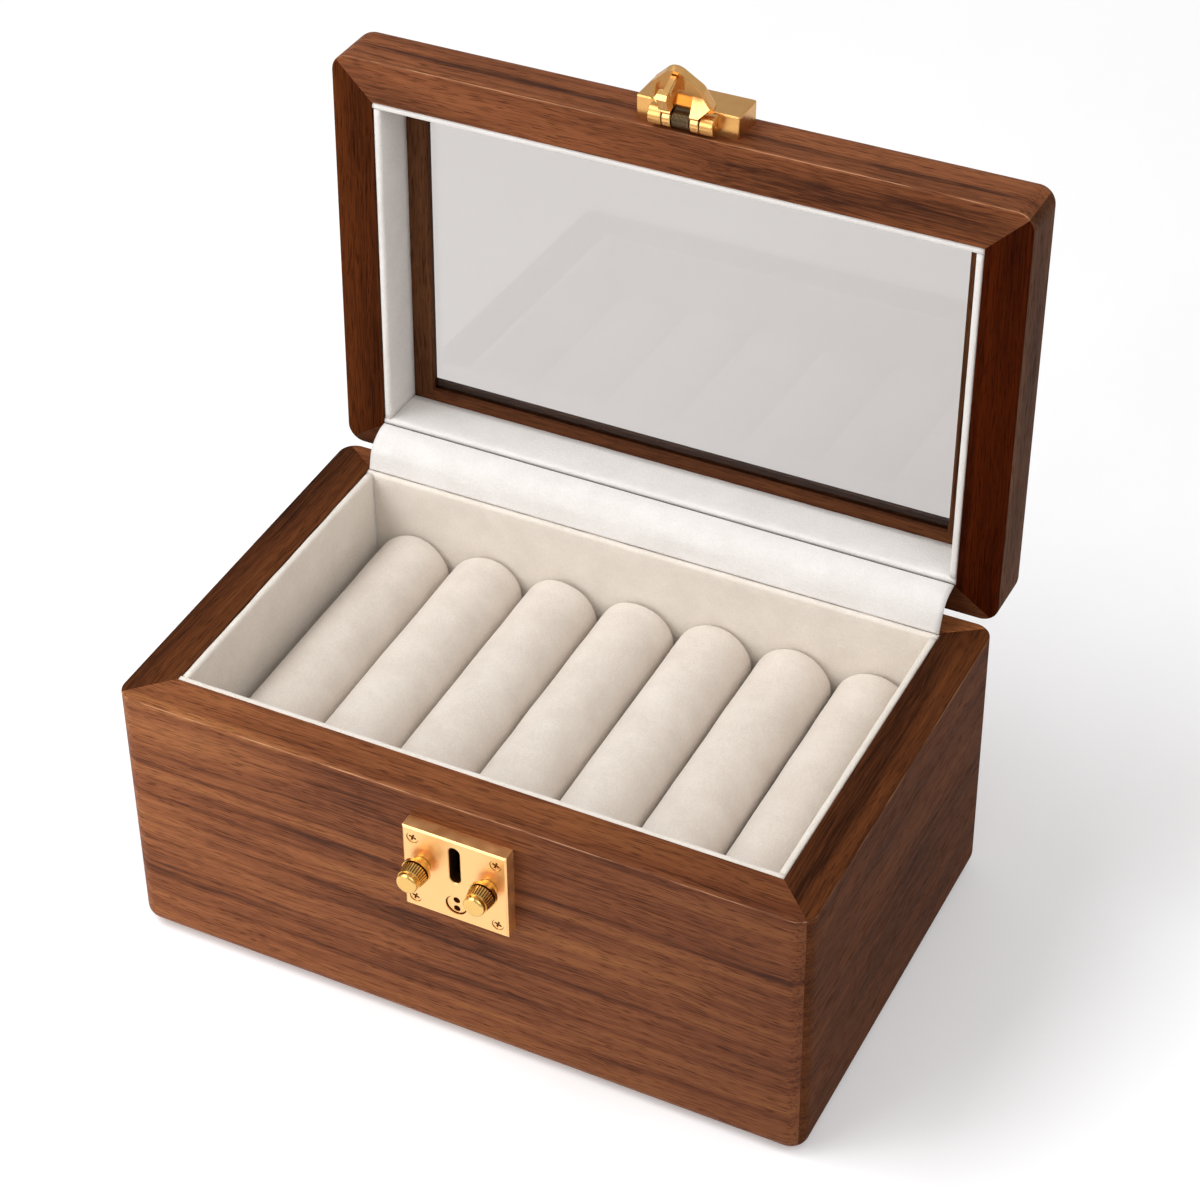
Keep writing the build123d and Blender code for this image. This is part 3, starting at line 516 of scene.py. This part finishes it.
def roll_skin(name, low, high, seed):
    """Closed skin of one roll, a little smaller than the space that it may fill."""
    radius = (high.x - low.x) / 2 - roll_swell
    half = (high.y - low.y) / 2 - roll_swell
    curve = 0.0034
    steps, around = 40, 56
    lumps_per_metre, lump_height, lump_shift = 55, 0.00022, 3.1
    profile = [(radius * k, -half) for k in (0.25, 0.5, 0.7)]
    profile += [(radius - curve + curve * math.sin(math.radians(a)),
                 -half + curve - curve * math.cos(math.radians(a))) for a in (0, 30, 60, 90)]
    end_points = len(profile)
    inner = half - curve
    profile += [(radius, -inner + 2 * inner * i / steps) for i in range(1, steps)]
    profile += [(r, -y) for r, y in reversed(profile[:end_points])]
    middle = (low + high) / 2
    rings = []
    for r, y in profile:
        ring = []
        for i in range(around):
            turn = 2 * math.pi * i / around
            point = Vector((r * math.cos(turn), y, r * math.sin(turn)))
            lump = noise.noise(point * lumps_per_metre
                               + Vector((seed * lump_shift, 0, 0))) * lump_height
            ring.append(middle + point * (1 + lump / radius))
        rings.append(ring)
    return mesh_object(name, *swept(rings), shaded_roll_velvet)


def plump(piece, pressure, most):
    """Blows the skin up as cloth, and lets no point move further than the wadding would."""
    frames = 20
    start = np.array([v.co for v in piece.data.vertices])
    cloth = piece.modifiers.new("wadding", "CLOTH")
    cloth.settings.use_pressure = True
    cloth.settings.uniform_pressure_force = pressure
    cloth.settings.effector_weights.gravity = 0.0
    cloth.settings.quality = 6
    cloth.settings.tension_stiffness = 40
    cloth.settings.compression_stiffness = 40
    cloth.settings.bending_stiffness = 2.0
    scene = bpy.context.scene
    cloth.point_cache.frame_start = 1
    cloth.point_cache.frame_end = frames
    for step in range(1, frames + 1):
        scene.frame_set(step)
        bpy.context.view_layer.update()
    shaped = piece.evaluated_get(bpy.context.evaluated_depsgraph_get())
    moved = np.array([v.co for v in shaped.data.vertices])
    piece.modifiers.remove(cloth)
    scene.frame_set(1)
    shift = moved - start
    far = np.linalg.norm(shift, axis=1, keepdims=True)
    shift *= np.minimum(1.0, most / np.maximum(far, 1e-9))
    piece.data.vertices.foreach_set("co", (start + shift).ravel())


for number in range(1, 8):
    low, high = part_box(f"roll_{number}")
    roll = roll_skin(f"velvet_roll_{number}", low, high, number)
    plump(roll, wadding_pressure, roll_swell)
    smooth = roll.modifiers.new("smooth", "SUBSURF")
    smooth.levels = smooth.render_levels = 1
    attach(roll, f"roll_{number}")
    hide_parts(f"roll_{number}")


# Hinge cover
# A strip of white velvet glued to the back linings of case and lid, so that no hinge shows.
# It stands up from the case and bows forward a little. The real strip folds as the lid shuts; here it
# keeps the open shape.
cover_half = 0.1354
cover_thick = 0.0012
cover_steps, cover_line_steps = 110, 4
# Each ripple has its count in a metre of length, its change from point to point over the width,
# a place in the noise of its own, and its height.
cover_ripples = ((26, 0.12, 4.0, 0.0005), (120, 0.4, 9.0, 0.00012))
# The curve of its middle from the case to the lid, in mm back from the middle and up.
cover_line = [(83.6, 130.0), (84.6, 133.6), (85.8, 137.3), (87.7, 140.4), (90.6, 142.9),
              (94.3, 144.4), (98.3, 144.95)]
cover_points = []
for i in range(len(cover_line) - 1):
    p0 = Vector(cover_line[max(i - 1, 0)])
    p1, p2 = Vector(cover_line[i]), Vector(cover_line[i + 1])
    p3 = Vector(cover_line[min(i + 2, len(cover_line) - 1)])
    for step in range(cover_line_steps):
        t = step / cover_line_steps
        cover_points.append(0.5 * ((2 * p1) + (p2 - p0) * t + (2 * p0 - 5 * p1 + 4 * p2 - p3) * t ** 2
                                   + (3 * p1 - p0 - 3 * p2 + p3) * t ** 3) / 1000)
cover_points.append(Vector(cover_line[-1]) / 1000)
cover_sections = []
for step in range(cover_steps + 1):
    x = -cover_half + 2 * cover_half * step / cover_steps
    front, back = [], []
    for i, point in enumerate(cover_points):
        before = cover_points[max(i - 1, 0)]
        after = cover_points[min(i + 1, len(cover_points) - 1)]
        run = (after - before).normalized()
        out = Vector((-run.y, run.x))
        share = math.sin(math.pi * i / (len(cover_points) - 1))
        ripple = sum(noise.noise(Vector((x * often, i * part, spot))) * size * share
                     for often, part, spot, size in cover_ripples)
        centre = point + out * ripple
        front.append((x, *(centre + out * cover_thick / 2)))
        back.append((x, *(centre - out * cover_thick / 2)))
    cover_sections.append(front + back[::-1])
cover = mesh_object("hinge_cover_velvet", *swept(cover_sections), white_velvet)
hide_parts("hinge_cover")
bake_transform(cover)


# Lid rails
# Four walnut rails with a lip inside for the glass, mitred like the case and oiled with it.
# Their rims show darker wood at the sides than at the top.
lid_up = tuple(swing.to_3x3() @ Vector(BACK))
lid_in = tuple(swing.to_3x3() @ Vector(UP))
rim_orange = ("#381A0C", "#693A1E", "#80492A", "#935A34")
side_brown = ("#2C160A", "#4B2D1B", "#5A3823", "#69432B")
lid_rim_height = 0.1304
lid_rim = (tuple(-Vector(lid_in)), -(swing @ Vector((0, 0, lid_rim_height))).dot(Vector(lid_in)))
dress("lid_front_rail", walnut("walnut_lid_top", RIGHT, lid_up, rim_orange, (0.9, 0.2, 0.4),
                               (0.1, 0.09), lid_rim))
dress("lid_back_rail", walnut("walnut_lid_foot", RIGHT, lid_up, grey_brown, (0.1, 0.9, 0.3),
                              (0.2, 0.1), lid_rim))
dress("lid_left_rail", walnut("walnut_lid_left", lid_up, RIGHT, side_brown, (0.4, 0.1, 0.8),
                              (0.15, 0.08), lid_rim, "#F2C286", arris_highlight=0.2, gloss=0.02))
dress("lid_right_rail", walnut("walnut_lid_right", lid_up, RIGHT, side_brown, (0.8, 0.5, 0.3),
                               (0.12, 0.1), lid_rim, "#B8732E", arris_highlight=0.1, gloss=0.02))
dress("glazing_beads", walnut("walnut_beads", RIGHT, lid_up, grey_brown, (0.5, 0.3, 0.1),
                              (0.2, 0.1), lid_rim))


# Glass
# A pane of 3 mm clear float glass in the lid's rebate, held from outside by the beads.
# It gives a faint grey tint and mirrors the lining and the rolls.
def float_glass():
    material, tree = start_material("float_glass")
    place = add(tree, "TexCoord")
    rolled = add(tree, "TexNoise", {"Vector": place.outputs["Object"], "Scale": 12.0,
                                    "Detail": 1.0})
    bump = add(tree, "Bump", {"Height": rolled.outputs[0], "Strength": 0.05, "Distance": 0.0002})
    tone = add(tree, "Mix", {0: rolled.outputs[0], 6: linear("#CAC6C3"), 7: linear("#CFCBC8")},
               data_type="RGBA")
    glass = add(tree, "BsdfPrincipled", {"Base Color": tone.outputs[2], "Roughness": 0.02,
                                         "IOR": 1.52, "Transmission Weight": 1.0,
                                         "Specular Tint": linear("#B0B0B0"),
                                         "Normal": bump.outputs[0]})
    add(tree, "OutputMaterial", {"Surface": glass.outputs[0]})
    return material


dress("glass_pane", float_glass())


# Hinges
# Two brass butt hinges let into the back rims, each with a steel pin and six brass screws.
# Their cranked leaves meet at the stop and hold the lid just past upright.
def satin_metal(name, pale, dark, rough, brush, painted_shade=None):
    """Metal with a fine brushed or turned finish and faint handling marks.

    The optional mask is 1 in recesses, where the colour is darkened as painted shade.
    """
    material, tree = start_material(name)
    place = add(tree, "TexCoord")
    # The brush lines are drawn about 0.25 mm apart.
    lines = add(tree, "Mapping", {"Vector": place.outputs["Object"], "Scale": brush})
    scratch = add(tree, "TexNoise", {"Vector": lines.outputs[0], "Scale": 1.0, "Detail": 4.0,
                                     "Roughness": 0.6})
    marks = add(tree, "TexNoise", {"Vector": place.outputs["Object"], "Scale": 1 / 0.006,
                                   "Detail": 3.0})
    tone = add(tree, "Mix", {0: marks.outputs[0], 6: linear(dark), 7: linear(pale)},
               data_type="RGBA")
    # Painted shade: where the mask is 1 the colour turns dark brown.
    if painted_shade is not None:
        tone = add(tree, "Mix", {0: painted_shade(tree, place), 6: tone.outputs[2], 7: linear("#805A2A")},
                   data_type="RGBA")
    worn = add(tree, "MapRange", {"Value": marks.outputs[0], "From Min": 0.3, "From Max": 0.7,
                                  "To Min": rough * 0.85, "To Max": rough * 1.15})
    bump = add(tree, "Bump", {"Height": scratch.outputs[0], "Strength": 0.12,
                              "Distance": 0.00005})
    metal = add(tree, "BsdfPrincipled", {"Base Color": tone.outputs[2], "Metallic": 1.0,
                                         "Roughness": worn.outputs[0],
                                         "Normal": bump.outputs[0]})
    add(tree, "OutputMaterial", {"Surface": metal.outputs[0]})
    return material


hinge_brass = satin_metal("rolled_brass", "#D8AE68", "#C89C58", 0.34, (4000, 60, 60))
bright_steel = satin_metal("turned_steel", "#C9C8C6", "#B9B8B6", 0.25, (60, 4000, 60))
for name in ("hinge_base_leaf_left", "hinge_base_leaf_right", "hinge_lid_leaf_left",
             "hinge_lid_leaf_right", "hinge_base_screws", "hinge_lid_screws"):
    dress(name, hinge_brass)
for name in ("hinge_pin_left", "hinge_pin_right"):
    dress(name, bright_steel)


# Lock plate
# A 6.5 mm block of brass, milled, chamfered and satin finished, with four brass wood screws.
# A steel case behind it, cams and tail take the hook inside the wall.
plate_low, plate_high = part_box("lock_plate")
plate_chamfer = 0.0005
shade_start, shade_full = 0.0001, 0.0006


def behind(face, start, end):
    """Mask of what lies further behind a face than start, and within the plate's edges."""
    def mask(tree, place):
        middle = (plate_low + plate_high) / 2
        half = (plate_high - plate_low) / 2 - Vector((plate_chamfer, 0.0, plate_chamfer))
        aside = add(tree, "VectorMath", {0: place.outputs["Object"], 1: middle},
                    operation="SUBTRACT")
        parts = add(tree, "SeparateXYZ", {0: aside.outputs[0]})
        beside = add(tree, "Math", {0: parts.outputs["X"], 1: 0.0, 2: half.x}, operation="COMPARE")
        above = add(tree, "Math", {0: parts.outputs["Z"], 1: 0.0, 2: half.z}, operation="COMPARE")
        inside = add(tree, "Math", {0: beside.outputs[0], 1: above.outputs[0]},
                     operation="MULTIPLY")
        back = add(tree, "MapRange", {"Value": parts.outputs["Y"],
                                      "From Min": face - middle.y + start,
                                      "From Max": face - middle.y + end})
        both = add(tree, "Math", {0: inside.outputs[0], 1: back.outputs[0]}, operation="MULTIPLY")
        return both.outputs[0]
    return mask


# The plate, its screws and the plug are painted darker where they lie back from their front faces, as
# shade in the recesses.
for node, finish in (("lock_plate", "satin_brass"), ("lock_plate_screws", "screw_brass"),
                     ("lock_plug", "plug_brass")):
    dress(node, satin_metal(finish, "#FACB8D", "#F4C181", 0.42, (300, 60, 4000),
                            behind(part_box(node)[0].y, shade_start, shade_full)))
dress("lock_case", satin_metal("zinc_plated_steel", "#A9A9AB", "#8F8F93", 0.4, (60, 60, 3000)))
for name in ("knob_cam_left", "knob_cam_right", "lock_plug_tail"):
    dress(name, hinge_brass)


# Knobs
# Two brass knobs turned in one piece with stem and spindle, their grips knurled.
# Turned brass is brighter than the plate and mirrors more.
# The grooves between the ridges of the grip and under it are darkened with painted shade.
def grooves(node):
    """Mask of what lies below the ridges of one knob's tapered grip.

    Places are measured back from the knob's front, and the ridges' height from its axis.
    """
    taper_start, taper_end = 0.0026, 0.0074
    ridge_front, ridge_back = 0.005, 0.0057
    groove_start, groove_full = 0.00003, 0.00014
    grip_middle, grip_half = 0.00535, 0.00275
    low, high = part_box(node)
    middle = (low + high) / 2

    def mask(tree, place):
        aside = add(tree, "VectorMath", {0: place.outputs["Object"], 1: (middle.x, low.y, middle.z)},
                    operation="SUBTRACT")
        flat = add(tree, "VectorMath", {0: aside.outputs[0], 1: (1.0, 0.0, 1.0)},
                   operation="MULTIPLY")
        radius = add(tree, "VectorMath", {0: flat.outputs[0]}, operation="LENGTH")
        parts = add(tree, "SeparateXYZ", {0: aside.outputs[0]})
        ridge = add(tree, "MapRange", {"Value": parts.outputs["Y"], "From Min": taper_start,
                                       "From Max": taper_end, "To Min": ridge_front,
                                       "To Max": ridge_back})
        below = add(tree, "Math", {0: ridge.outputs[0], 1: radius.outputs["Value"]},
                    operation="SUBTRACT")
        cut = add(tree, "MapRange", {"Value": below.outputs[0], "From Min": groove_start,
                                     "From Max": groove_full})
        grip = add(tree, "Math", {0: parts.outputs["Y"], 1: grip_middle, 2: grip_half},
                   operation="COMPARE")
        both = add(tree, "Math", {0: cut.outputs[0], 1: grip.outputs[0]}, operation="MULTIPLY")
        return both.outputs[0]
    return mask


for node in ("knob_left", "knob_right"):
    dress(node, satin_metal("turned_brass_" + node, "#E6BF76", "#DAAE62", 0.22, (300, 4000, 300),
                            grooves(node)))


# Hasp
# A cast and polished brass leaf with its hook, on a block screwed to the lid's front rail.
# A blackened steel spring round the pin holds the leaf up when the box is open.
dress("hasp_block", satin_metal("milled_brass", "#DBA868", "#CC9653", 0.3, (4000, 300, 300)))
dress("hasp", satin_metal("cast_brass", "#E6B676", "#D8A15E", 0.24, (300, 300, 300)))
dress("hasp_pin", hinge_brass)
dress("hasp_block_screws", bright_steel)

# The spring is a wire of 0.5 mm wound close round the pin between the two hasp rings.
spring_low, spring_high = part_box("hasp_spring")
spring_middle = (spring_low + spring_high) / 2
spring_radius = min(spring_high - spring_low) / 2
wire = 0.00026
wire_sides = 6
steps_in_turn = 20
spring_run = spring_high.x - spring_low.x - 2 * wire
turns = int(spring_run / (2.2 * wire))
rings = []
for step in range(turns * steps_in_turn + 1):
    angle = 2 * math.pi * step / steps_in_turn
    share = step / (turns * steps_in_turn)
    x = spring_low.x + wire + share * spring_run
    out = Vector((0, math.cos(angle), math.sin(angle)))
    centre = Vector((x, spring_middle.y, spring_middle.z)) + out * (spring_radius - wire)
    rings.append([centre + wire * (out * math.cos(a) + Vector(RIGHT) * math.sin(a))
                  for a in (2 * math.pi * i / wire_sides for i in range(wire_sides))])
spring_steel = satin_metal("blackened_steel", "#857055", "#5C4B36", 0.3, (3000, 60, 60))
spring = mesh_object("spring_coil", *swept(rings), spring_steel)
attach(spring, "lid")
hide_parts("hasp_spring")
